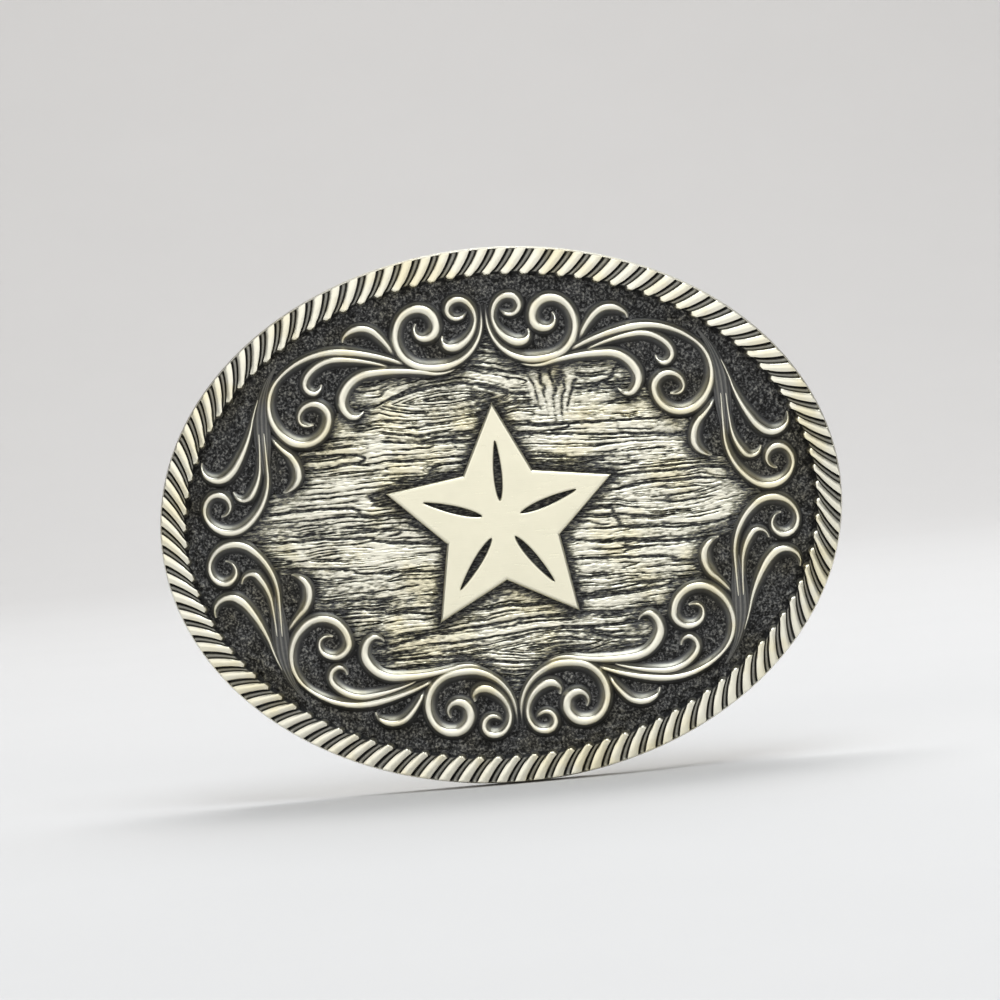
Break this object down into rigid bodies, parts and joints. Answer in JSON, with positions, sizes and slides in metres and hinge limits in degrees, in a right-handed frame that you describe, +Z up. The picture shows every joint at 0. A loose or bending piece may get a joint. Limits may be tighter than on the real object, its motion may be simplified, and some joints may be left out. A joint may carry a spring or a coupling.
{
  "type": "belt buckle",
  "caption": "Oval trophy belt buckle with a rope edge, scroll overlays and a star in front, and a swinging strap loop and a hook peg behind.",
  "frame": {"origin": "middle of the foot of the bounding box: the lowest point of the oval rim, halfway between the front of the rope and the tip of the hook", "axes": "+Z up as worn, +X to the right as seen from the decorated face, -Y out of the decorated face towards the viewer, +Y towards the wearer"},
  "size_m": [0.09, 0.015, 0.07],
  "materials": {
    "patinated_plate": "antiqued brass, blackened in the recesses and rubbed bright on the grain",
    "rope_brass": "antiqued, polished on the ridges",
    "scroll_brass": "polished pale brass",
    "polished_emblem": "highly polished pale brass",
    "back_hardware": "satin, lightly tarnished",
    "loop_wire": "drawn wire, satin",
    "hook_brass": "turned, polished by wear"
  },
  "bodies": {
    "buckle": {"base_plate": "patinated_plate", "rope_border": "rope_brass", "small_scroll_upper_right": "scroll_brass", "small_scroll_upper_left": "scroll_brass", "small_scroll_lower_right": "scroll_brass", "small_scroll_lower_left": "scroll_brass", "spray_upper_right": "scroll_brass", "spray_upper_left": "scroll_brass", "spray_lower_right": "scroll_brass", "spray_lower_left": "scroll_brass", "side_leaves_upper_right": "scroll_brass", "side_leaves_upper_left": "scroll_brass", "side_leaves_lower_right": "scroll_brass", "side_leaves_lower_left": "scroll_brass", "star_emblem": "polished_emblem", "hinge_strip": "back_hardware", "knuckle_upper": "back_hardware", "knuckle_lower": "back_hardware", "hook_pad": "back_hardware", "hook_peg": "hook_brass"},
    "loop": {"strap_loop": "loop_wire"}
  },
  "joints": [
    {"name": "loop_hinge", "type": "hinge", "parent": "buckle", "child": "loop", "pos_m": [0.01566, 0.00105, 0.035], "axis": [0, 0, 1], "range_deg": [0, 165]}
  ]
}
